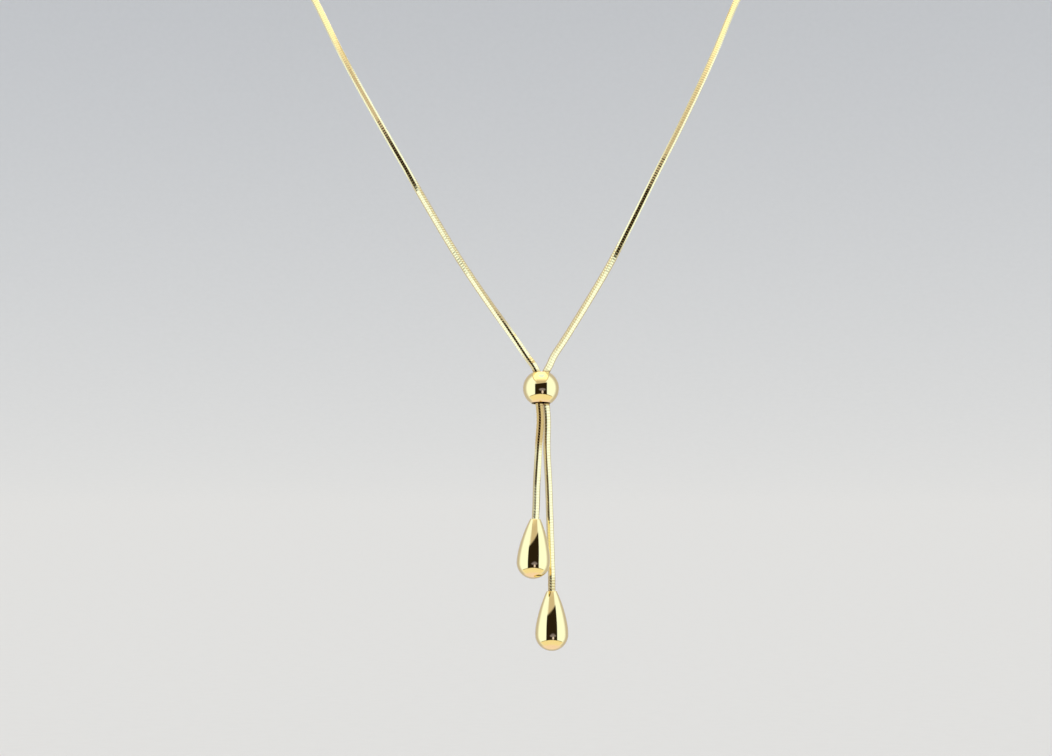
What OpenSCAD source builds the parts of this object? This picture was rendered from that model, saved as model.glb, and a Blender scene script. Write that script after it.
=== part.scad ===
// Lariat necklace: two strands of eight-sided snake chain run from a barrel clasp at the nape,
// through one sliding ball, to two drops that hang at different heights.
// Millimetres, +Z up, +X to the right seen from the front, the front towards -Y.
// The origin is the point at the nape where the inner side of the clasp rests.

/* [Chain] */
// Width of the chain across two opposite flats
chain_w = 1.1; // [0.9:0.05:1.15]
// Length of chain held inside each drop and each end of the clasp
seat_len = 1.5; // [1:0.1:2]
// Clearance around the chain, and at its end, where it is seated
seat_gap = 0.08; // [0.05:0.01:0.15]

/* [Ball] */
// Diameter of the sliding ball
ball_d = 6; // [5:0.1:8]
// Clearance between the pair of strands and the hole at the middle of the ball
ball_gap = 0.3; // [0.2:0.01:0.4]
// Bevel at each mouth of the hole
ball_bevel = 0.1; // [0.05:0.01:0.2]
// Backward lean of the ball's top, in degrees
ball_lean = 10; // [6:0.5:12]

/* [Drops] */
// Largest diameter of each drop
drop_d = 5.5; // [4.8:0.1:5.8]
// Length of each drop from its round end to its tip
drop_len = 9.9; // [9:0.1:11.4]
// Radius of the swelling side above the widest place
drop_side_r = 10; // [8:0.5:12]
// Radius of the gently curved neck above that side
drop_neck_r = 22; // [18:1:30]
// Radius of the rounded lip around the chain at the tip
drop_lip_r = 0.1; // [0.08:0.01:0.2]

/* [Clasp] */
// Length of the clasp
clasp_len = 11; // [9:0.5:14]
// Diameter of the clasp's barrel
clasp_d = 3.2; // [2.6:0.1:4]
// Length of the narrow collar at each end of the barrel
clasp_collar_len = 1.2; // [0.8:0.1:2]
// Wall of each collar around the seated chain
clasp_collar_wall = 0.45; // [0.3:0.05:0.6]
// Radius of the barrel's rounded shoulders
clasp_round_r = 0.7; // [0.3:0.1:0.8]

/* [Hidden] */
$fn = 96;

// The chain is a regular octagon in section
CHAIN_SIDES = 8;
chain_corner_w = chain_w / cos(180 / CHAIN_SIDES);
chain_bore_d = chain_corner_w + 2 * seat_gap;

// The middle of the neck, from which the chain's first flat faces outwards
NECK_Y = -50;
// The longest stretch between two rings of a strand's solid
RING_STEP = 12;

// The chain starts inside the clasp, whose axis is level along X
clasp_y = clasp_d / 2;
chain_start_x = clasp_len / 2 - seat_len + seat_gap;

// Route of the left strand from the clasp, down the chest, through the ball to the tip of the
// short drop: x, y, z and the roll of the first flat from outwards, in degrees
LEFT_ROUTE = [
    [-chain_start_x, clasp_y, 0, 0],
    [-clasp_len / 2, clasp_y, 0, 0],
    [-24, -0.8, -0.8, 0],
    [-41, -8, -2.6, 0],
    [-52.5, -21.5, -6, 0],
    [-57, -39.5, -13, 0],
    [-54.8, -55.5, -23.5, 0],
    [-48.8, -67.8, -36, 0],
    [-41.2, -76.8, -48.4, 4],
    [-35.9, -84.3, -58, 7],
    [-30.9, -91.3, -68, 14],
    [-24.8, -96.3, -79, 23],
    [-19.9, -99, -87.5, 30],
    [-17.6, -100.1, -91.5, 44],
    [-10.1, -103.2, -104, 52],
    [-5.3, -104.7, -111, 63],
    [-1.7, -105.7, -116, 87],
    [0.4, -106.2, -119, 100],
    [1.35, -106.6, -120.3, 103],
    [1.85, -106.8, -121.3, 103],
    [1.95, -107.3, -124, 101],
    [2.25, -107.85, -126.7, 97.5],
    [2.38, -108.05, -128.3, 97.5],
    [2.1, -108.5, -134, 102],
    [1.8, -108.9, -140, 110.5],
    [1.7, -109.15, -143.5, 110.5],
    [1.6, -109.2, -145.5, 110.5],
];
// Route of the right strand to the tip of the long drop, which passes behind the short drop
RIGHT_ROUTE = [
    [chain_start_x, clasp_y, 0, 0],
    [clasp_len / 2, clasp_y, 0, 0],
    [24, -0.8, -0.8, 0],
    [41, -8, -2.6, 0],
    [52.5, -21.5, -6, 0],
    [57, -39.5, -13, 0],
    [54.8, -55.5, -23.5, 0],
    [48.8, -67.8, -36, 0],
    [41.2, -76.8, -48.4, -1],
    [36, -84.3, -58, -2],
    [31.7, -91.3, -68, -4],
    [26.5, -96.3, -79, -8],
    [21.4, -99.4, -89, -19],
    [16.6, -101.9, -98.5, -34],
    [14.5, -102.9, -102.5, -47],
    [9.5, -104.7, -111, -57],
    [6.4, -105.7, -116, -60],
    [4.5, -106.2, -119, -61],
    [3.9, -106.4, -120.3, -61],
    [3.37, -106.55, -121.3, -62],
    [3.1, -106.7, -124, -65],
    [3.35, -107.2, -126.7, -68],
    [3.5, -107.35, -128.3, -68],
    [3.5, -107.2, -134, -68],
    [3.8, -107, -140, -68],
    [4, -106.9, -146, -68],
    [4.2, -106.9, -152, -68],
    [4.3, -107.05, -155.5, -68],
    [4.3, -107.1, -157.5, -68],
];
// The place in both routes where the strands pass the middle of the ball
BALL_POINT = 20;

function xyz(p) = [p.x, p.y, p.z];
function unit(v) = v / norm(v);
function last(list) = list[len(list) - 1];

// The route's direction at point i: the mean of the two chords there, the shorter one weighing more
function heading(route, i) =
    let (n = len(route) - 1)
    i == 0 ? unit(xyz(route[1]) - xyz(route[0]))
    : i == n ? unit(xyz(route[n]) - xyz(route[n - 1]))
    : let (
        before = xyz(route[i]) - xyz(route[i - 1]),
        after = xyz(route[i + 1]) - xyz(route[i])
    )
    (unit(before) * norm(after) + unit(after) * norm(before)) / (norm(before) + norm(after));

// A point, and the direction there, on the cubic curve from route point i to the next, at share t
function curve_point(route, i, t) =
    let (
        a = xyz(route[i]),
        b = xyz(route[i + 1]),
        span = norm(b - a),
        out = heading(route, i) * span,
        in = heading(route, i + 1) * span
    )
    (2 * t ^ 3 - 3 * t ^ 2 + 1) * a + (t ^ 3 - 2 * t ^ 2 + t) * out
    + (3 * t ^ 2 - 2 * t ^ 3) * b + (t ^ 3 - t ^ 2) * in;
function curve_heading(route, i, t) =
    let (
        a = xyz(route[i]),
        b = xyz(route[i + 1]),
        span = norm(b - a),
        out = heading(route, i) * span,
        in = heading(route, i + 1) * span
    )
    unit(6 * (t ^ 2 - t) * (a - b) + (3 * t ^ 2 - 4 * t + 1) * out + (3 * t ^ 2 - 2 * t) * in);

// One ring of the octagon round a point of the route
function ring(at, along, roll) =
    let (
        away = [at.x, at.y - NECK_Y, 0],
        out = unit(away - (away * along) * along),
        side = cross(along, out)
    )
    [for (k = [0:CHAIN_SIDES - 1])
        let (a = roll + (k + 0.5) * 360 / CHAIN_SIDES)
        at + chain_corner_w / 2 * (cos(a) * out + sin(a) * side)];

// Every ring of a strand, the last one inside the drop
function strand_rings(route) =
    let (
        n = len(route) - 1,
        tip = xyz(route[n]),
        down = heading(route, n)
    )
    concat(
        [for (i = [0:n - 1])
            let (steps = ceil(norm(xyz(route[i + 1]) - xyz(route[i])) / RING_STEP))
            for (k = [0:steps - 1])
                let (
                    t = k / steps,
                    roll = route[i][3] * (1 - t) + route[i + 1][3] * t
                )
                ring(curve_point(route, i, t), curve_heading(route, i, t), roll)],
        [ring(tip, down, route[n][3])],
        [ring(tip + (seat_len - seat_gap) * down, down, route[n][3])]
    );

// A closed tube over a list of rings
module tube(rings) {
    n = CHAIN_SIDES;
    end = (len(rings) - 1) * n;
    points = [for (r = rings) for (p = r) p];
    walls = [for (i = [0:len(rings) - 2]) for (k = [0:n - 1])
        let (
            a = i * n + k,
            b = i * n + (k + 1) % n
        )
        each [[a, a + n, b + n], [a, b + n, b]]];
    start_cap = [[for (k = [0:n - 1]) k]];
    end_cap = [[for (k = [0:n - 1]) end + n - 1 - k]];
    polyhedron(points, concat(start_cap, walls, end_cap));
}

// Puts children with their own +Z along a direction
module stand(at, up) {
    translate(at) rotate([0, acos(up.z), atan2(up.y, up.x)]) children();
}

module chain_left() {
    color("gold") tube(strand_rings(LEFT_ROUTE));
}

module chain_right() {
    color("gold") tube(strand_rings(RIGHT_ROUTE));
}

// The ball's hole takes the two strands side by side
strand_a = xyz(LEFT_ROUTE[BALL_POINT]);
strand_b = xyz(RIGHT_ROUTE[BALL_POINT]);
ball_at = (strand_a + strand_b) / 2;
ball_hole_d = norm(strand_b - strand_a) + chain_corner_w + 2 * ball_gap;

module slider_ball() {
    ball_r = ball_d / 2;
    hole_r = ball_hole_d / 2;
    mouth_y = sqrt(ball_r ^ 2 - hole_r ^ 2);
    color("goldenrod") translate(ball_at) rotate([-ball_lean, 0, 0]) rotate_extrude()
        difference() {
            circle(r = ball_r);
            translate([-2 * ball_r, -ball_r]) square([2 * ball_r + hole_r, 2 * ball_r]);
            for (end = [0, 1]) mirror([0, end])
                polygon([
                    [0, mouth_y - ball_bevel],
                    [hole_r, mouth_y - ball_bevel],
                    [hole_r + 2 * ball_bevel, mouth_y + ball_bevel],
                    [0, mouth_y + ball_bevel],
                ]);
        }
}

// Half of a drop's section, its widest place at 0: arcs of the round end, the swelling side, the
// neck and the lip, each tangent to the next, and the bore for the chain
drop_r = drop_d / 2;
drop_tip_y = drop_len - drop_r;
lip_at = [chain_bore_d / 2 + drop_lip_r, drop_tip_y - drop_lip_r];
side_at = [drop_r - drop_side_r, 0];
// The neck touches the side where it slopes by this angle: its centre lies beyond the side's, and
// as far from the lip's centre as the two radii differ
lip_away = lip_at - side_at;
neck_more = drop_neck_r - drop_side_r;
neck_slope = atan2(lip_away.y, lip_away.x) - acos(
    ((drop_neck_r - drop_lip_r) ^ 2 - norm(lip_away) ^ 2 - neck_more ^ 2)
    / (2 * neck_more * norm(lip_away))
);
neck_at = side_at - neck_more * [cos(neck_slope), sin(neck_slope)];

module drop_section() {
    side_end = side_at + drop_side_r * [cos(neck_slope), sin(neck_slope)];
    lip_start = lip_at + drop_lip_r * unit(lip_at - neck_at);
    difference() {
        union() {
            intersection() {
                circle(r = drop_r);
                translate([0, -drop_d]) square([drop_d, drop_d]);
            }
            intersection() {
                translate(side_at) circle(r = drop_side_r);
                square([drop_d, side_end.y]);
            }
            intersection() {
                translate(neck_at) circle(r = drop_neck_r, $fn = 6 * $fn);
                polygon([[0, side_end.y], side_end, side_end + [1, 0], lip_start + [1, 0],
                    lip_start, lip_at, [0, lip_at.y]]);
            }
            translate(lip_at) circle(r = drop_lip_r);
        }
        translate([0, drop_tip_y - seat_len]) square([chain_bore_d / 2, 2 * seat_len]);
    }
}

// A drop whose tip is at the end of a strand's route and which hangs on in the same direction
module drop(route) {
    color("goldenrod") stand(xyz(last(route)), -heading(route, len(route) - 1))
        translate([0, 0, -drop_tip_y]) rotate_extrude() drop_section();
}

module drop_short() {
    drop(LEFT_ROUTE);
}

module drop_long() {
    drop(RIGHT_ROUTE);
}

// Half of the clasp's section along its axis: a barrel with rounded shoulders between two collars
module clasp_section() {
    barrel_r = clasp_d / 2;
    barrel_end = clasp_len / 2 - clasp_collar_len;
    collar_r = chain_bore_d / 2 + clasp_collar_wall;
    round_at = [barrel_r - clasp_round_r, barrel_end - clasp_round_r];
    difference() {
        translate([0, -clasp_len / 2]) square([barrel_r, clasp_len]);
        for (end = [0, 1]) mirror([0, end]) {
            translate([collar_r, barrel_end]) square([barrel_r, clasp_collar_len + 1]);
            difference() {
                translate(round_at) square([2 * clasp_round_r, clasp_round_r]);
                translate(round_at) circle(r = clasp_round_r);
            }
            translate([0, clasp_len / 2 - seat_len]) square([chain_bore_d / 2, 2 * seat_len]);
        }
    }
}

module clasp() {
    color("goldenrod") stand([0, clasp_y, 0], [1, 0, 0]) rotate_extrude() clasp_section();
}

chain_left();
chain_right();
slider_ball();
drop_short();
drop_long();
clasp();
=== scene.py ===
# %% [markdown]
# # A gold lariat necklace
# Two strands of snake chain run from a clasp at the nape, through one sliding ball, to two
# pear-shaped drops. The solids come from the CAD model, in metres and already in place. This
# lesson dresses them: it makes the ribbed chain, the smooth castings, their gold, and the light
# tent in which such a piece is photographed.

import bpy
import numpy as np
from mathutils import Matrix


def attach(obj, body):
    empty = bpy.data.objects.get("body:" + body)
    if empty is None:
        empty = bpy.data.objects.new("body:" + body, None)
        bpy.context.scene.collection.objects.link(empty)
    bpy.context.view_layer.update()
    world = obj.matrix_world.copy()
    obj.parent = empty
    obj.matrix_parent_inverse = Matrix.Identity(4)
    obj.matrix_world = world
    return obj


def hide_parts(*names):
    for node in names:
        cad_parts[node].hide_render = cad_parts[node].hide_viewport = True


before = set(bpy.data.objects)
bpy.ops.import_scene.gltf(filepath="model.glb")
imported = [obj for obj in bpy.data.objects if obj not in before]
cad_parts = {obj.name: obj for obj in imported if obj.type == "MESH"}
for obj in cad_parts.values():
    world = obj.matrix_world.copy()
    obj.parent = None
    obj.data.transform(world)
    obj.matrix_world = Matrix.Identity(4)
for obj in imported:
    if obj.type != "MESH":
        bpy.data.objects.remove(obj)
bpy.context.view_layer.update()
MM = 0.001
print("nodes:", ", ".join(sorted(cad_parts)))

# %% [markdown]
# ## The camera
# Jewellery is photographed from a little way off with a long lens, so that the near and far parts
# keep their true proportions. The camera stands about level with the ball, 650 mm before it, and
# looks straight ahead at the V. At that distance a 134.6 mm lens takes in 174 mm, which is about
# 6 pixels for each millimetre of the necklace.

# %% Place the camera
# Lens and place are in millimetres, the picture's width is in pixels
LENS, PICTURE_W = 134.6, 1052
CAMERA_X, CAMERA_Y, CAMERA_Z, BALL_AWAY = 0.05, -757, -122.3, 650
camera = bpy.data.objects.new("camera", bpy.data.cameras.new("camera"))
camera.data.lens = LENS
camera.data.clip_start = 0.01
camera.location = (CAMERA_X * MM, CAMERA_Y * MM, CAMERA_Z * MM)
camera.rotation_euler = (np.pi / 2, 0, 0)
bpy.context.scene.collection.objects.link(camera)
bpy.context.scene.camera = camera
pixels_a_mm = LENS / camera.data.sensor_width * PICTURE_W / BALL_AWAY
print(f"a millimetre at the ball is {pixels_a_mm:.2f} pixels")

# %% [markdown]
# ## Helpers for nodes and colours
# A colour picked on the screen is in sRGB, where equal steps look equal. Light adds up in linear
# values, so one function turns every hex colour to linear. A second one adds a node with its
# settings and links, which is all that both the light and the metals need.

# %% Define the helpers
def linear(hex_colour, strength=1.0):
    """Linear RGBA of an sRGB hex colour: each channel c becomes ((c + 0.055) / 1.055) to the power
    2.4, or c / 12.92 when it is small, and is then multiplied by strength."""
    c = np.array([int(hex_colour[i : i + 2], 16) for i in (1, 3, 5)]) / 255
    c = np.where(c <= 0.04045, c / 12.92, ((c + 0.055) / 1.055) ** 2.4)
    return (*(float(x) * strength for x in c), 1.0)


def add(tree, kind, inputs=None, **settings):
    """Adds a node of a kind, sets its settings, and links or sets its inputs."""
    node = tree.nodes.new(kind)
    for name, value in settings.items():
        setattr(node, name, value)
    for key, value in (inputs or {}).items():
        if isinstance(value, bpy.types.NodeSocket):
            tree.links.new(value, node.inputs[key])
        else:
            node.inputs[key].default_value = value
    return node


# A Mix node on colours has its two colours at these inputs and its result at this output
MIX_A, MIX_B, MIX_OUT = 6, 7, 2
print("white is", linear("#FFFFFF"))

# %% [markdown]
# ## The light tent
# Polished gold has no colour of its own to speak of: it shows the room, tinted. So it stands in a
# tent of white cloth that glows on every side, with one dark opening in front for the camera.
# The tent could be built from glowing panels, but they would stand in the way of a camera that
# moves round the necklace. A world shader gives the same reflections from infinitely far off.
#
# It is drawn in the plane in which a polished ball shows it. For a direction of the world, the
# ball mirrors it where its normal is halfway between that direction and the one to the front.
# The x and z of that normal are a point in a disc of radius 1, and each panel of the tent is a
# soft-edged patch of that disc, painted over the ones before it.

# %% Find the place of a direction in the ball's disc
world = bpy.data.worlds.new("light_tent")
bpy.context.scene.world = world
world.use_nodes = True
tent = world.node_tree
tent.nodes.clear()
direction = add(tent, "ShaderNodeTexCoord").outputs["Generated"]
halfway = add(tent, "ShaderNodeVectorMath", {0: direction, 1: (0, -1, 0)}, operation="ADD")
normal = add(tent, "ShaderNodeVectorMath", {0: halfway.outputs[0]}, operation="NORMALIZE")
xyz = add(tent, "ShaderNodeSeparateXYZ", {0: normal.outputs[0]})
# The place in the disc, and how far it is from the disc's middle sideways and in all
right, up = xyz.outputs["X"], xyz.outputs["Z"]
aside = add(tent, "ShaderNodeMath", {0: right}, operation="ABSOLUTE").outputs[0]
right_squared = add(tent, "ShaderNodeMath", {0: right, 1: right}, operation="MULTIPLY").outputs[0]
up_squared = add(tent, "ShaderNodeMath", {0: up, 1: up}, operation="MULTIPLY").outputs[0]
both = add(tent, "ShaderNodeMath", {0: right_squared, 1: up_squared}, operation="ADD")
out = add(tent, "ShaderNodeMath", {0: both.outputs[0]}, operation="SQRT").outputs[0]
# The seam between floor and walls bows down at the sides, and the opening's top edge is slanted
SEAM_BOW, TOP_SLANT = 0.4, -0.12
seam_terms = {0: right_squared, 1: SEAM_BOW, 2: up}
over_seam = add(tent, "ShaderNodeMath", seam_terms, operation="MULTIPLY_ADD").outputs[0]
slant_terms = {0: right, 1: TOP_SLANT, 2: up}
over_slant = add(tent, "ShaderNodeMath", slant_terms, operation="MULTIPLY_ADD").outputs[0]


def ellipse(middle, half_sizes):
    """How far a direction is from the middle of an ellipse in the disc, where 1 is its edge."""
    disc = add(tent, "ShaderNodeCombineXYZ", {"X": right, "Y": up}).outputs[0]
    off = add(tent, "ShaderNodeVectorMath", {0: disc, 1: (*middle, 0)}, operation="SUBTRACT")
    sizes = {0: off.outputs[0], 1: (*half_sizes, 1)}
    share = add(tent, "ShaderNodeVectorMath", sizes, operation="DIVIDE").outputs[0]
    return add(tent, "ShaderNodeVectorMath", {0: share}, operation="LENGTH").outputs["Value"]


# The ceiling is a vault that narrows towards the opening, with one brighter patch. Low in the
# opening stands the camera, whose grey body shows a little, and its lens a little more. Each is
# given by its middle and by half its width and height
vault = ellipse((-0.02, 0.72), (0.42, 0.4))
oval = ellipse((0.03, 0.69), (0.2, 0.1))
body = ellipse((0.07, -0.06), (0.2, 0.08))
lens = ellipse((0.085, -0.2), (0.06, 0.1))
print("the tent has", len(tent.nodes), "nodes for its directions")

# %% Paint the panels of the tent
# Each panel has its light and its edges. An edge goes from nothing at its first value to the
# whole panel at its second.
PANELS = {
    "back": (linear("#F1F3FF", 0.72), []),
    "walls": (linear("#D0E6FF", 1.84), [(out, 0.89, 0.74)]),
    "ceiling_seam": (linear("#FFF4D8", 0.75), [(vault, 1.1, 1.06), (up, 0.3, 0.34)]),
    "ceiling": (linear("#FFFFF0", 1.62), [(vault, 1.0, 0.94), (up, 0.34, 0.4)]),
    "skylight": (linear("#C1DEFF", 1.87), [(oval, 1.1, 0.7)]),
    "shade": (
        linear("#FFFAF5", 0.7),
        [(up, 0.1, 0.12), (up, 0.6, 0.36), (aside, 0.37, 0.2)],
    ),
    "floor": (linear("#FFFDE6", 1.04), [(over_seam, -0.28, -0.31), (out, 0.87, 0.75)]),
    "far_floor": (linear("#FAEFFF", 1.1), [(over_seam, -0.5, -0.7), (out, 0.93, 0.85)]),
    "seam": (
        linear("#FFF1C8", 0.45),
        [(over_seam, -0.325, -0.305), (over_seam, -0.265, -0.29), (out, 0.8, 0.7)],
    ),
    "opening": (
        linear("#FFE0B0", 0.025),
        [(aside, 0.345, 0.315), (over_slant, 0.295, 0.27), (over_seam, -0.315, -0.29)],
    ),
    "body": (linear("#D2D1FF", 0.42), [(body, 1.15, 0.6)]),
    "lens": (linear("#DFDDFF", 1.2), [(lens, 1.15, 0.6)]),
}
glow = None
for colour, edges in PANELS.values():
    share = None
    for place, start, end in edges:
        edge = add(
            tent,
            "ShaderNodeMapRange",
            {"Value": place, "From Min": start, "From Max": end},
            interpolation_type="SMOOTHSTEP",
        ).outputs[0]
        if share is None:
            share = edge
        else:
            factors = {0: share, 1: edge}
            share = add(tent, "ShaderNodeMath", factors, operation="MULTIPLY").outputs[0]
    if glow is None:
        glow = colour
    else:
        layers = {0: share, MIX_A: glow, MIX_B: colour}
        glow = add(tent, "ShaderNodeMix", layers, data_type="RGBA").outputs[MIX_OUT]
shine = add(tent, "ShaderNodeBackground", {"Color": glow, "Strength": 1.0})
add(tent, "ShaderNodeOutputWorld", {"Surface": shine.outputs[0]})
bpy.context.scene.view_settings.view_transform = "Standard"
print("the tent has", len(PANELS), "panels")

# %% [markdown]
# ## The floor
# A photographer's floor is a sheet of pale card that sweeps up behind the object without an edge.
# Here it is turned about the necklace, so that there is a backdrop from every side: flat in the
# middle, then a quarter circle, then a wall. It is far outside the necklace and the camera, and
# only the camera sees it, so the gold shows the tent alone.

# %% Define how a profile is turned into a mesh
# Lengths in millimetres that differ by less are the same
TINY = 1e-6


def turned(name, profile, around, at=(0, 0, 0), axis=(0, 0, 1), ring=False):
    """A surface of revolution. Each point (radius, height) of the profile goes round the axis:
    place + radius * (cos a * side + sin a * front) + height * axis, for equal steps of a. A
    profile that starts or ends on the axis gets one point there, and a ring's profile closes on
    itself. The profile is given with the material on its left, so that faces point outwards."""
    axis = np.array(axis, float) / np.linalg.norm(axis)
    side = np.cross(axis, (0, 1, 0) if abs(axis[1]) < 0.9 else (1, 0, 0))
    side /= np.linalg.norm(side)
    front = np.cross(axis, side)
    radius, height = np.array(profile, float).T
    a = np.arange(around) / around * 2 * np.pi
    wheel = np.cos(a)[:, None] * side + np.sin(a)[:, None] * front
    grid = radius[:, None, None] * wheel + (height[:, None] * axis)[:, None]
    index = np.arange(grid.shape[0] * around).reshape(-1, around)
    low = index if ring else index[:-1]
    high = np.roll(index, -1, 0) if ring else index[1:]
    quads = np.stack([low, np.roll(low, -1, 1), np.roll(high, -1, 1), high], -1).reshape(-1, 4)
    # A ring of points on the axis is one point, so its quads become triangles
    first = np.where(radius[index // around] < TINY, index // around * around, index).ravel()
    points = (grid.reshape(-1, 3) + np.array(at)) * MM
    return meshed(name, points, first[quads])


def meshed(name, points, quads):
    """A mesh object from an array of points and one of quads, in which a quad that names a point
    twice running is a triangle. Points that no face uses are dropped."""
    used, quads = np.unique(quads, return_inverse=True)
    quads = quads.reshape(-1, 4)
    double = quads == np.roll(quads, -1, 1)
    flat = double.sum(1) > 1
    quads, double = quads[~flat], double[~flat]
    sizes = 4 - double.sum(1)
    corners = quads[~double]
    mesh = bpy.data.meshes.new(name)
    mesh.vertices.add(len(used))
    mesh.vertices.foreach_set("co", points[used].astype(np.float32).ravel())
    mesh.loops.add(len(corners))
    mesh.loops.foreach_set("vertex_index", corners.astype(np.int32))
    mesh.polygons.add(len(sizes))
    mesh.polygons.foreach_set("loop_start", (np.cumsum(sizes) - sizes).astype(np.int32))
    mesh.update(calc_edges=True)
    mesh.validate()
    mesh.shade_smooth()
    piece = bpy.data.objects.new(name, mesh)
    bpy.context.scene.collection.objects.link(piece)
    print(f"{name}: {len(used)} points, {len(sizes)} faces")
    return piece


def arc(centre, radius, start, end, steps):
    """Points of a circle's arc: centre + radius * (cos a, sin a), for a from start to end."""
    a = np.radians(np.linspace(start, end, steps + 1))
    return np.array(centre) + radius * np.stack([np.cos(a), np.sin(a)], -1)


# %% Define how a material starts
def new_material(name):
    """A material without any nodes yet, and its node tree."""
    material = bpy.data.materials.new(name)
    material.use_nodes = True
    material.node_tree.nodes.clear()
    return material, material.node_tree


# %% Make the floor
# In millimetres: the floor's height, how far out its wall is, the sweep's radius and the wall's top
FLOOR_Z, FLOOR_R, SWEEP_R, WALL_H = -200, 2600, 900, 3500
FLOOR_AROUND, SWEEP_STEPS = 96, 32
sweep = np.vstack(
    [
        [[0, FLOOR_Z]],
        arc((FLOOR_R - SWEEP_R, FLOOR_Z + SWEEP_R), SWEEP_R, -90, 0, SWEEP_STEPS),
        [[FLOOR_R, WALL_H]],
    ]
)
floor = turned("floor", sweep[::-1], FLOOR_AROUND)
floor.visible_diffuse = False
floor.visible_glossy = False
floor.visible_transmission = False
floor.visible_shadow = False
card, tree = new_material("pale_card")
place = add(tree, "ShaderNodeTexCoord").outputs["Object"]
# The tooth of the card, drawn at 4 mm because its real grain is too fine to show
tooth = add(tree, "ShaderNodeTexNoise", {"Vector": place, "Scale": 250.0, "Detail": 3.0})
shade = add(
    tree,
    "ShaderNodeMix",
    {0: tooth.outputs["Fac"], MIX_A: linear("#D7CFC9"), MIX_B: linear("#DBD3CD")},
    data_type="RGBA",
).outputs[MIX_OUT]
surface = add(
    tree,
    "ShaderNodeBsdfPrincipled",
    {"Base Color": shade, "Roughness": 1.0, "Specular IOR Level": 0.0},
)
add(tree, "ShaderNodeOutputMaterial", {"Surface": surface.outputs[0]})
floor.data.materials.append(card)

# %% [markdown]
# ## The gold
# The castings and the chain are 14 carat yellow gold: paler than pure gold, because two fifths of
# it are silver and copper. Ball and drops are buffed to a mirror. The chain's flats are cut with
# a diamond and flash, and its joints between links hold a little polish and darken. In the ball's
# bore and just outside its mouths the chain is darkened brown as painted shade, and the bore's wall
# is painted dark as painted shade too. In the left strand's kink the chain is browned as painted
# shade and the painted reflection of one strand in the other, and the right kink is browned a
# little. The clasp is buffed too, and a little duller. Metals keep Blender's own IOR, since their
# base colour already says how much they reflect.

# %% Make the polished gold of ball, drops and clasp
def polished_gold(name, tint, softest, dullest, swirl_mm):
    """14 carat gold off the buffing wheel. Buffing leaves faint swirls, which scatter a little
    light, and a skin that is not perfectly true, which makes long reflections waver."""
    metal, tree = new_material(name)
    place = add(tree, "ShaderNodeTexCoord").outputs["Object"]
    # Buffing marks, a few tenths of a millimetre apart and long in one direction
    stretch = {"Vector": place, "Scale": (1.0, 0.35, 0.2)}
    lengthened = add(tree, "ShaderNodeMapping", stretch).outputs[0]
    swirls = add(
        tree,
        "ShaderNodeTexNoise",
        {"Vector": lengthened, "Scale": 1 / (swirl_mm * MM), "Detail": 4.0, "Distortion": 0.6},
    ).outputs["Fac"]
    dull = add(
        tree,
        "ShaderNodeMapRange",
        {"Value": swirls, "From Min": 0.35, "From Max": 0.75, "To Min": softest, "To Max": dullest},
    ).outputs[0]
    # Waviness of the skin: about 1.6 mm long and a thousandth of a millimetre high
    wave_size = {"Vector": place, "Scale": 600.0, "Detail": 1.0}
    wave = add(tree, "ShaderNodeTexNoise", wave_size).outputs["Fac"]
    bumps = {"Height": wave, "Strength": 1.0, "Distance": 0.001 * MM}
    skin = add(tree, "ShaderNodeBump", bumps).outputs[0]
    colour = add(
        tree,
        "ShaderNodeMix",
        {0: swirls, MIX_A: linear(tint), MIX_B: linear("#F1D797")},
        data_type="RGBA",
    ).outputs[MIX_OUT]
    surface = add(
        tree,
        "ShaderNodeBsdfPrincipled",
        {"Base Color": colour, "Metallic": 1.0, "Roughness": dull, "Normal": skin},
    )
    add(tree, "ShaderNodeOutputMaterial", {"Surface": surface.outputs[0]})
    print(f"{name}: roughness {softest} to {dullest}")
    return metal


mirror_gold = polished_gold(
    "mirror_polished_gold", "#F3DB9E", softest=0.03, dullest=0.07, swirl_mm=0.35
)
worn_gold = polished_gold("buffed_clasp_gold", "#EFD594", softest=0.1, dullest=0.2, swirl_mm=0.25)

# %% Make the diamond-cut gold of the chain
# A diamond leaves flats like small mirrors, and doesn't reach the joints between them, which stay
# duller by this roughness
JOINT_DULLNESS = 0.35
cut_gold, tree = new_material("diamond_cut_chain_gold")
place = add(tree, "ShaderNodeTexCoord").outputs["Object"]
# How deep a point is in the joint between two links, from 0 on the flats to 1 in the joint
joint = add(tree, "ShaderNodeAttribute", attribute_name="joint_depth").outputs["Fac"]
# Handling leaves some stretches a little duller than others, about 4.5 mm long
stretches = {"Vector": place, "Scale": 220.0, "Detail": 3.0}
handled = add(tree, "ShaderNodeTexNoise", stretches).outputs["Fac"]
flats = add(
    tree,
    "ShaderNodeMapRange",
    {"Value": handled, "From Min": 0.3, "From Max": 0.7, "To Min": 0.045, "To Max": 0.09},
).outputs[0]
dull = add(
    tree,
    "ShaderNodeMath",
    {0: joint, 1: JOINT_DULLNESS, 2: flats},
    operation="MULTIPLY_ADD",
    use_clamp=True,
).outputs[0]
colour = add(
    tree,
    "ShaderNodeMix",
    {0: joint, MIX_A: linear("#F5E0A8"), MIX_B: linear("#B8934F")},
    data_type="RGBA",
).outputs[MIX_OUT]
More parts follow.
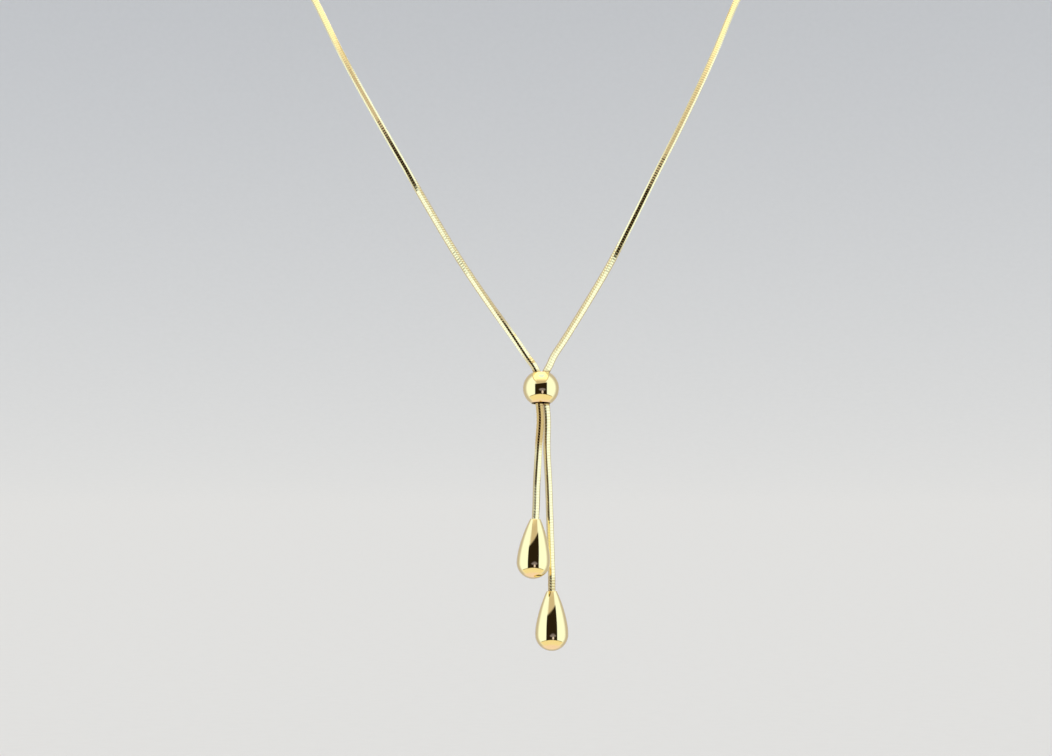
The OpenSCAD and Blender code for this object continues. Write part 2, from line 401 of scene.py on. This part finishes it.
# Darkening goes from 0 on most of the chain to 1 in the ball's bore. It is painted shade in and
# below the ball and in the left kink, where it also paints one strand mirrored in the other. It
# browns the skin at first and then darkens it: each row has the darkening at which a tint starts
# and is whole, and the tint
DARKENING_TINTS = ((0.0, 0.5, "#C8A061"), (0.5, 1.0, "#4A2F0C"))
darkened = add(tree, "ShaderNodeAttribute", attribute_name="darkening").outputs["Fac"]
for start, whole, tint in DARKENING_TINTS:
    span = {"Value": darkened, "From Min": start, "From Max": whole}
    share = add(tree, "ShaderNodeMapRange", span).outputs[0]
    layers = {0: share, MIX_A: colour, MIX_B: linear(tint)}
    colour = add(tree, "ShaderNodeMix", layers, data_type="RGBA").outputs[MIX_OUT]
surface = add(
    tree,
    "ShaderNodeBsdfPrincipled",
    {"Base Color": colour, "Metallic": 1.0, "Roughness": dull},
)
add(tree, "ShaderNodeOutputMaterial", {"Surface": surface.outputs[0]})
print("cut_gold:", len(tree.nodes), "nodes")

# %% Make the ball's bore, painted dark as its shade
# No wheel reaches into a bore, so its wall keeps the drill's fine rings, about 0.11 mm apart. Its
# wall is painted dark brown as painted shade, so that the bore looks brown and swallows the light
bore_shade_gold, tree = new_material("shaded_bore_gold")
place = add(tree, "ShaderNodeTexCoord").outputs["Object"]
rings = add(tree, "ShaderNodeMapping", {"Vector": place, "Scale": (0.1, 0.1, 1.0)}).outputs[0]
drilling = {"Vector": rings, "Scale": 9000.0, "Detail": 2.0}
skin = add(tree, "ShaderNodeTexNoise", drilling).outputs["Fac"]
colour = add(
    tree,
    "ShaderNodeMix",
    {0: skin, MIX_A: linear("#2E1C0C"), MIX_B: linear("#4A3018")},
    data_type="RGBA",
).outputs[MIX_OUT]
surface = add(
    tree,
    "ShaderNodeBsdfPrincipled",
    {"Base Color": colour, "Metallic": 0.6, "Roughness": 0.6},
)
add(tree, "ShaderNodeOutputMaterial", {"Surface": surface.outputs[0]})
print("bore_shade_gold:", len(tree.nodes), "nodes")

# %% [markdown]
# ## The snake chain
# Snake chain is a stack of thin bent rings, so close that they look like one tube. This one is
# cut to eight flats after it is woven, and the joints between its rings show as fine slanted
# lines. One ring could be copied along a curve, but more than a thousand copies would weigh more
# than one skin. So a strand is one grid: round the chain one way, and along it the other, with
# four rings of points to each link: in the joint, at each side of the flat between two joints, and
# at its middle, where the flat is a hair higher. The route repeats the solid's own, so that the
# chain lies exactly where the solid does.
#
# Snake chain doesn't like a sharp bend. Each strand has a kink, the left one just below the ball
# and the right one above its drop, where the links were pulled askew and their joints stay open.

# %% Repeat the routes of the solids
# The chain's width, the depth of the seats for its ends, and the room round it there
CHAIN_W, SEAT_LEN, SEAT_GAP = 1.1, 1.5, 0.08
CLASP_LEN, CLASP_D = 11, 3.2
CLASP_Y, START_X = CLASP_D / 2, CLASP_LEN / 2 - SEAT_LEN + SEAT_GAP
# Outwards is level and away from the neck's axis, which stands at this y
NECK_Y = -50
# Each row has x, y and z in millimetres and the roll of the first flat from outwards in degrees
LEFT_ROUTE = np.array(
    [
        [-START_X, CLASP_Y, 0, 0],
        [-CLASP_LEN / 2, CLASP_Y, 0, 0],
        [-24, -0.8, -0.8, 0],
        [-41, -8, -2.6, 0],
        [-52.5, -21.5, -6, 0],
        [-57, -39.5, -13, 0],
        [-54.8, -55.5, -23.5, 0],
        [-48.8, -67.8, -36, 0],
        [-41.2, -76.8, -48.4, 4],
        [-35.9, -84.3, -58, 7],
        [-30.9, -91.3, -68, 14],
        [-24.8, -96.3, -79, 23],
        [-19.9, -99, -87.5, 30],
        [-17.6, -100.1, -91.5, 44],
        [-10.1, -103.2, -104, 52],
        [-5.3, -104.7, -111, 63],
        [-1.7, -105.7, -116, 87],
        [0.4, -106.2, -119, 100],
        [1.35, -106.6, -120.3, 103],
        [1.85, -106.8, -121.3, 103],
        [1.95, -107.3, -124, 101],
        [2.25, -107.85, -126.7, 97.5],
        [2.38, -108.05, -128.3, 97.5],
        [2.1, -108.5, -134, 102],
        [1.8, -108.9, -140, 110.5],
        [1.7, -109.15, -143.5, 110.5],
        [1.6, -109.2, -145.5, 110.5],
    ]
)
RIGHT_ROUTE = np.array(
    [
        [START_X, CLASP_Y, 0, 0],
        [CLASP_LEN / 2, CLASP_Y, 0, 0],
        [24, -0.8, -0.8, 0],
        [41, -8, -2.6, 0],
        [52.5, -21.5, -6, 0],
        [57, -39.5, -13, 0],
        [54.8, -55.5, -23.5, 0],
        [48.8, -67.8, -36, 0],
        [41.2, -76.8, -48.4, -1],
        [36, -84.3, -58, -2],
        [31.7, -91.3, -68, -4],
        [26.5, -96.3, -79, -8],
        [21.4, -99.4, -89, -19],
        [16.6, -101.9, -98.5, -34],
        [14.5, -102.9, -102.5, -47],
        [9.5, -104.7, -111, -57],
        [6.4, -105.7, -116, -60],
        [4.5, -106.2, -119, -61],
        [3.9, -106.4, -120.3, -61],
        [3.37, -106.55, -121.3, -62],
        [3.1, -106.7, -124, -65],
        [3.35, -107.2, -126.7, -68],
        [3.5, -107.35, -128.3, -68],
        [3.5, -107.2, -134, -68],
        [3.8, -107, -140, -68],
        [4, -106.9, -146, -68],
        [4.2, -106.9, -152, -68],
        [4.3, -107.05, -155.5, -68],
        [4.3, -107.1, -157.5, -68],
    ]
)
# Row 20 of both routes is level with the ball's middle
BALL_POINT = 20
print("route points:", len(LEFT_ROUTE), "and", len(RIGHT_ROUTE))


# %% Follow a route
def headings(route):
    """The route's direction at each point: the mean of the two chords' directions there, each
    weighted by the other chord's length. The ends take their one chord's direction."""
    chord = np.diff(route[:, :3], axis=0)
    span = np.linalg.norm(chord, axis=1)[:, None]
    ways = chord / span
    inner = (ways[:-1] * span[1:] + ways[1:] * span[:-1]) / (span[:-1] + span[1:])
    return np.vstack([ways[:1], inner, ways[-1:]]), span


def followed(route, steps=60):
    """Points, directions and rolls along a route. Between two route points a and b, the point at
    share t is the cubic (2t^3 - 3t^2 + 1) a + (t^3 - 2t^2 + t) A + (3t^2 - 2t^3) b +
    (t^3 - t^2) B, where A and B are the headings there times the span, and the direction is its
    slope. The roll goes evenly from one point's to the next's. The seated end comes last."""
    way, span = headings(route)
    t = np.linspace(0, 1, steps, endpoint=False)[None, :, None]
    a, b = route[:-1, None, :3], route[1:, None, :3]
    start, end = (way[:-1] * span)[:, None], (way[1:] * span)[:, None]
    at = (2 * t**3 - 3 * t**2 + 1) * a + (t**3 - 2 * t**2 + t) * start
    at = at + (3 * t**2 - 2 * t**3) * b + (t**3 - t**2) * end
    slope = 6 * (t**2 - t) * (a - b) + (3 * t**2 - 4 * t + 1) * start + (3 * t**2 - 2 * t) * end
    roll = route[:-1, 3, None] * (1 - t[..., 0]) + route[1:, 3, None] * t[..., 0]
    tip, down = route[-1, :3], way[-1]
    at = np.vstack([at.reshape(-1, 3), tip, tip + (SEAT_LEN - SEAT_GAP) * down])
    slope = np.vstack([slope.reshape(-1, 3), down, down])
    return at, slope, np.append(roll.ravel(), [route[-1, 3]] * 2)


for hand, route in (("left", LEFT_ROUTE), ("right", RIGHT_ROUTE)):
    centre = followed(route)[0]
    whole = np.linalg.norm(np.diff(centre, axis=0), axis=1).sum()
    print(f"the {hand} strand is {whole:.1f} mm long")

# %% Make a strand
# A link's length, how deep its joints are, and the share of the link that a joint's side takes
LINK, JOINT_DEPTH, JOINT_SHARE = 0.46, 0.018, 0.06
# A corner's radius, a link's reach forwards and back, its usual lean in degrees and its swelling
CORNER_R, SADDLE, LINK_LEAN, LINK_DOME = 0.03, 0.14, 0.35, 0.004
# The saddles fade over this length at both ends of a strand, so that it ends flat
END_FADE = 1.0
# The cutter leaves narrow and wide flats in turn, the narrow ones farther from the chain's axis
FLATS = (0.585, 0.54)
# A kink goes from a height to a height, fades over a length at each of them, and is browned this
# # much. In the left kink the browning is painted shade and the painted reflection of one strand in
# # the other
LEFT_KINK = (-134.5, -126, 2, 1, 0.5)
RIGHT_KINK = (-160, -154.8, 0.5, 1, 0.15)
# In a kink links lean this many times as far, and a joint's sides sink to this share of its depth
KINK_LEAN, KINK_OPEN = 6, 0.7


def chain_section():
    """The chain's cut section: eight flats, joined at the corners by arcs of CORNER_R, with three
    points to each corner. The flats lie FLATS[0] and FLATS[1] from the axis in turn, so the centre
    of a corner's arc is FLATS[0] - CORNER_R out along a narrow flat's normal, and to its side
    (FLATS[1] - CORNER_R) * sqrt(2) less that."""
    narrow, wide = np.array(FLATS) - CORNER_R
    beside = wide * np.sqrt(2) - narrow
    quarter = np.repeat(np.arange(4) * 90, 6)
    x = np.tile(np.repeat([narrow, beside], 3), 4)
    y = np.tile(np.repeat([beside, narrow], 3), 4)
    turn = np.radians(quarter + np.tile([0, 22.5, 45, 45, 67.5, 90], 4))
    quarter = np.radians(quarter)
    return np.stack(
        [
            x * np.cos(quarter) - y * np.sin(quarter) + CORNER_R * np.cos(turn),
            x * np.sin(quarter) + y * np.cos(quarter) + CORNER_R * np.sin(turn),
        ]
    )


def kinked(z, kink):
    """How far a height is in a kink, from 0 at its ends to 1: the product of its distance from
    each end over the length in which the kink fades there, each at most 1."""
    low, high, fade_low, fade_high, _ = kink
    return np.clip((z - low) / fade_low, 0, 1) * np.clip((high - z) / fade_high, 0, 1)


def snake_chain(name, route, seed, kink):
    """A strand as one closed grid. A ring's point is: centre + (u * out + v * side) * width +
    saddle * sin(2 a) * along, where (u, v) is a point of the section, turned by the roll, and a
    its angle before the turn. Width is 1 on a flat, a little more in the middle of a link and less
    in a joint, and the saddle is how far each bent link reaches forwards and back. Each link leans
    by its own small angle, so that no two flash alike, and by a larger one in the kink, where its
    joints are wider too."""
    at, slope, roll = followed(route)
    length = np.append(0, np.cumsum(np.linalg.norm(np.diff(at, axis=0), axis=1)))
    links = round(length[-1] / LINK)
    share = np.array([0, JOINT_SHARE, 0.5, 1 - JOINT_SHARE])
    place = np.append((np.arange(links)[:, None] + share).ravel(), links) / links * length[-1]
    middle = (np.arange(links) + 0.5) / links * length[-1]
    askew = kinked(np.interp(middle, length, at[:, 2]), kink)
    open_joint = KINK_OPEN * askew
    depth = np.stack([np.ones(links), open_joint, np.zeros(links), open_joint], -1)
    depth = np.append(depth.ravel(), 1.0)
    dome = np.append(np.tile([0.0, 0.0, LINK_DOME, 0.0], links), 0.0)
    lean = np.append(np.tile([0.0, -0.5, 0.0, 0.5], links), 0.0)
    centre = np.stack([np.interp(place, length, at[:, k]) for k in range(3)], -1)
    along = np.stack([np.interp(place, length, slope[:, k]) for k in range(3)], -1)
    along /= np.linalg.norm(along, axis=1)[:, None]
    turn = np.radians(np.interp(place, length, roll))[:, None]
    away = (centre - (0, NECK_Y, 0)) * (1, 1, 0)
    out = away - (away * along).sum(1)[:, None] * along
    out /= np.linalg.norm(out, axis=1)[:, None]
    side = np.cross(along, out)
    u, v = chain_section()
    angle = np.arctan2(v, u)
    rng = np.random.default_rng(seed)
    tilt = np.radians(rng.normal(0, LINK_LEAN, links)) * (1 + (KINK_LEAN - 1) * askew)
    tilt = tilt.repeat(4)
    toward = rng.uniform(0, 2 * np.pi, links).repeat(4)
    tilt, toward = np.append(tilt, 0)[:, None], np.append(toward, 0)[:, None]
    grow = LINK * lean[:, None] * tilt * np.cos(angle - toward)
    width = 1 + ((dome - JOINT_DEPTH * depth)[:, None] + grow) / (CHAIN_W / 2)
    cos, sin = np.cos(turn), np.sin(turn)
    x, y = (u * cos - v * sin) * width, (u * sin + v * cos) * width
    fade = np.clip(np.minimum(place, length[-1] - place) / END_FADE, 0, 1)[:, None]
    reach = SADDLE * np.sin(2 * angle) * fade
    grid = (
        centre[:, None]
        + x[..., None] * out[:, None]
        + y[..., None] * side[:, None]
        + reach[..., None] * along[:, None]
    )
    around = len(u)
    index = np.arange(grid.shape[0] * around).reshape(-1, around)
    low, high = index[:-1], index[1:]
    quads = np.stack([low, np.roll(low, -1, 1), np.roll(high, -1, 1), high], -1).reshape(-1, 4)
    # Both ends close on a point in their middle
    first, last = index.size, index.size + 1
    start = [np.full(around, first), np.roll(index[0], -1), index[0], index[0]]
    close = [np.full(around, last), index[-1], np.roll(index[-1], -1), np.roll(index[-1], -1)]
    ends = np.vstack([np.stack(start, -1), np.stack(close, -1)])
    points = np.vstack([grid.reshape(-1, 3), centre[0], centre[-1]]) * MM
    piece = meshed(name, points, np.vstack([quads, ends]))
    piece.data.polygons.foreach_set("use_smooth", np.zeros(len(piece.data.polygons), bool))
    joint = piece.data.attributes.new("joint_depth", "FLOAT", "POINT")
    joint.data.foreach_set("value", np.append(depth.repeat(around), [1, 1]).astype(np.float32))
    piece.data.materials.append(cut_gold)
    print(f"{name}: {links} links of {length[-1] / links:.3f} mm")
    return piece


LEFT_SEED, RIGHT_SEED = 3, 4
chain_left = snake_chain("snake_chain_left", LEFT_ROUTE, LEFT_SEED, LEFT_KINK)
chain_right = snake_chain("snake_chain_right", RIGHT_ROUTE, RIGHT_SEED, RIGHT_KINK)

# %% [markdown]
# ## The sliding ball
# The ball is a bead with one hole that both strands pass through side by side. A sphere with a
# boolean hole would leave sharp rims and long thin faces that spoil a mirror finish. A turned
# profile has even faces and a true rounded rim at each mouth.

# %% Turn the ball
# The ball's width, the room round both strands, the rims' radius and the ball's lean in degrees
BALL_D, BALL_GAP, BALL_RIM_R, BALL_LEAN = 6, 0.3, 0.07, 10
# Faces round the ball, and steps of its skin, of each rim and of the bore's wall
BALL_AROUND, SKIN_STEPS, RIM_STEPS, WALL_STEPS = 160, 96, 10, 12
# The solid chain's width from corner to corner
CORNER_W = CHAIN_W / np.cos(np.pi / 8)
strands = np.stack([LEFT_ROUTE[BALL_POINT, :3], RIGHT_ROUTE[BALL_POINT, :3]])
ball_at = strands.mean(0)
hole_r = np.linalg.norm(strands[1] - strands[0]) / 2 + CORNER_W / 2 + BALL_GAP
# The rim's arc touches the hole's wall and, from inside, the sphere
rim_x = hole_r + BALL_RIM_R
rim_y = np.sqrt((BALL_D / 2 - BALL_RIM_R) ** 2 - rim_x**2)
rim_turn = np.degrees(np.arctan2(rim_y, rim_x))
ball_profile = np.vstack(
    [
        arc((0, 0), BALL_D / 2, -rim_turn, rim_turn, SKIN_STEPS)[:-1],
        arc((rim_x, rim_y), BALL_RIM_R, rim_turn, 180, RIM_STEPS)[:-1],
        np.linspace([hole_r, rim_y], [hole_r, -rim_y], WALL_STEPS + 1)[:-1],
        arc((rim_x, -rim_y), BALL_RIM_R, 180, 360 - rim_turn, RIM_STEPS)[:-1],
    ]
)
lean = np.radians(BALL_LEAN)
ball_axis = np.array([0, np.sin(lean), np.cos(lean)])
ball = turned("sliding_ball", ball_profile, BALL_AROUND, ball_at, ball_axis, ring=True)
ball.data.materials.append(mirror_gold)
ball.data.materials.append(bore_shade_gold)
# A row of faces is the bore's wall where its two edges together are this near the hole's radius
WALL_WITHIN = 0.02
off_wall = np.abs(ball_profile[:, 0] - hole_r)
is_wall = off_wall + np.roll(off_wall, -1) < WALL_WITHIN
slots = np.repeat(is_wall, BALL_AROUND).astype(np.int32)
ball.data.polygons.foreach_set("material_index", slots)
print(f"ball at {ball_at.round(2)}, hole {2 * hole_r:.2f} mm")

# %% Mark the painted shade at the ball and the browning in the kinks
# The painted shade is whole in the bore and fades over this length outside its mouths, and
# # the kinks add their browning
BORE_SHADE_LEN = 0.6
for strand, kink in ((chain_left, LEFT_KINK), (chain_right, RIGHT_KINK)):
    points = np.empty(len(strand.data.vertices) * 3, np.float32)
    strand.data.vertices.foreach_get("co", points)
    points = points.reshape(-1, 3) / MM
    height = np.abs((points - ball_at) @ ball_axis)
    darkening = np.clip((rim_y + BORE_SHADE_LEN - height) / BORE_SHADE_LEN, 0, 1)
    darkening = np.maximum(darkening, kink[-1] * kinked(points[:, 2], kink))
    marks = strand.data.attributes.new("darkening", "FLOAT", "POINT")
    marks.data.foreach_set("value", darkening.astype(np.float32))
    print(f"{strand.name}: {(darkening > 0).sum()} of {len(darkening)} points are worn")

# %% [markdown]
# ## The pear drops
# Each drop is one pear-shaped casting, polished all over, with the chain's end set into its tip.
# A lathe made the pattern for it, so a turned profile is also how the real one was drawn: a round
# end, a swelling side, and a taper to a small rounded lip round the chain.

# %% Turn the drops
# A drop's width and length, and the radii of its side, its neck and its lip
DROP_D, DROP_LEN, SIDE_R, NECK_R, LIP_R = 5.5, 9.9, 10, 22, 0.1
# Faces round a drop, and steps of its round end, of each long arc, of the lip and of the bore
DROP_AROUND, END_STEPS, LONG_STEPS, LIP_STEPS, BORE_STEPS = 144, 60, 32, 12, 5
BORE_R = CORNER_W / 2 + SEAT_GAP
TIP = DROP_LEN - DROP_D / 2


def drop_profile():
    """Half of a drop's section from its round end at the axis to the floor of its bore: arcs of
    its half width, of SIDE_R, of NECK_R and of the lip, each touching the next, then the bore's
    wall and floor. Its widest place is at height 0. The neck's arc touches both others where its
    slope a has |w + k (cos a, sin a)| = NECK_R - LIP_R, for w from the side's centre to the
    lip's and k = NECK_R - SIDE_R."""
    lip = np.array([BORE_R + LIP_R, TIP - LIP_R])
    side = np.array([DROP_D / 2 - SIDE_R, 0])
    apart, longer = lip - side, NECK_R - SIDE_R
    far = np.linalg.norm(apart)
    cosine = ((NECK_R - LIP_R) ** 2 - far**2 - longer**2) / (2 * longer * far)
    slope = np.arctan2(apart[1], apart[0]) - np.arccos(cosine)
    neck = side - longer * np.array([np.cos(slope), np.sin(slope)])
    taper = np.degrees(np.arctan2(*(lip - neck)[::-1]))
    slope = np.degrees(slope)
    print(f"the drop's side slopes {slope:.1f} degrees above its belly and {taper:.1f} at the lip")
    return np.vstack(
        [
            arc((0, 0), DROP_D / 2, -90, 0, END_STEPS)[:-1],
            arc(side, SIDE_R, 0, slope, LONG_STEPS)[:-1],
            arc(neck, NECK_R, slope, taper, LONG_STEPS)[:-1],
            arc(lip, LIP_R, taper, 180, LIP_STEPS)[:-1],
            np.linspace([BORE_R, TIP - LIP_R], [BORE_R, TIP - SEAT_LEN], BORE_STEPS + 1),
            [[0, TIP - SEAT_LEN]],
        ]
    )


def pear_drop(name, route):
    """A drop whose tip is at the end of a route and which hangs on in the same direction."""
    down = headings(route)[0][-1]
    down = down / np.linalg.norm(down)
    piece = turned(name, drop_profile(), DROP_AROUND, route[-1, :3] + TIP * down, -down)
    piece.data.materials.append(mirror_gold)
    return piece


drop_short = pear_drop("pear_drop_short", LEFT_ROUTE)
drop_long = pear_drop("pear_drop_long", RIGHT_ROUTE)

# %% [markdown]
# ## The clasp
# A lariat like this closes at the nape with a plain barrel clasp, whose two halves screw
# together. Both have a narrow collar into which the chain's end is soldered. It is turned too,
# with a fine parting line in the middle where the halves meet.

# %% Turn the clasp
# The collar's length and wall, and the radii of the barrel's shoulder and of the collar's edges
COLLAR_LEN, COLLAR_WALL, SHOULDER_R, EDGE_R = 1.2, 0.45, 0.7, 0.12
# Half of the parting line: how far it lies from the barrel's skin, and how far from its middle
PARTING = np.array([[-0.08, 0.0], [-0.02, 0.04], [0.0, 0.1], [0.0, 0.2]])
# Where the barrel's even rows of faces start, and the rows close to the collar's foot and mouth
BARREL_START, FOOT_ROW, MOUTH_ROW = 0.4, 0.05, 0.6
# Faces round the clasp, and steps of the barrel, of each shoulder and of the collar's edges
CLASP_AROUND, BARREL_STEPS, SHOULDER_STEPS, EDGE_STEPS = 96, 11, 14, 6
collar_r, barrel_r, barrel_end = BORE_R + COLLAR_WALL, CLASP_D / 2, CLASP_LEN / 2 - COLLAR_LEN
half = CLASP_LEN / 2
shoulder_at = (barrel_r - SHOULDER_R, barrel_end - SHOULDER_R)
shoulder = arc(shoulder_at, SHOULDER_R, 0, 90, SHOULDER_STEPS)
# The shoulder's arc stops where the collar starts
shoulder = shoulder[shoulder[:, 0] > collar_r + TINY]
barrel_rows = np.linspace([barrel_r, BARREL_START], [barrel_r, shoulder_at[1]], BARREL_STEPS + 1)
right_half = np.vstack(
    [
        PARTING + (barrel_r, 0),
        barrel_rows[:-1],
        shoulder,
        [[collar_r, barrel_end], [collar_r, barrel_end + FOOT_ROW]],
        arc((collar_r - EDGE_R, half - EDGE_R), EDGE_R, 0, 90, EDGE_STEPS),
        arc((BORE_R + EDGE_R, half - EDGE_R), EDGE_R, 90, 180, EDGE_STEPS),
        [[BORE_R, half - MOUTH_ROW], [BORE_R, half - SEAT_LEN], [0, half - SEAT_LEN]],
    ]
)
left_half = right_half[:0:-1] * (1, -1)
clasp_profile = np.vstack([left_half, right_half])
clasp = turned("barrel_clasp", clasp_profile, CLASP_AROUND, (0, CLASP_Y, 0), (1, 0, 0))
clasp.data.materials.append(worn_gold)

# %% [markdown]
# ## Tie the pieces to the necklace's body
# Each new piece stands for one solid, whose own mesh is hidden, and rides on the necklace's one
# body.

# %% Tie the pieces to their solids
# Each node has its piece and its slot
DRESSED = {
    "chain_left": (chain_left, "chain_gold"),
    "chain_right": (chain_right, "chain_gold"),
    "slider_ball": (ball, "polished_gold"),
    "drop_short": (drop_short, "polished_gold"),
    "drop_long": (drop_long, "polished_gold"),
    "clasp": (clasp, "clasp_gold"),
}
for node, (piece, finish) in DRESSED.items():
    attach(piece, "root")
    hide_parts(node)
print("pieces:", len(DRESSED))
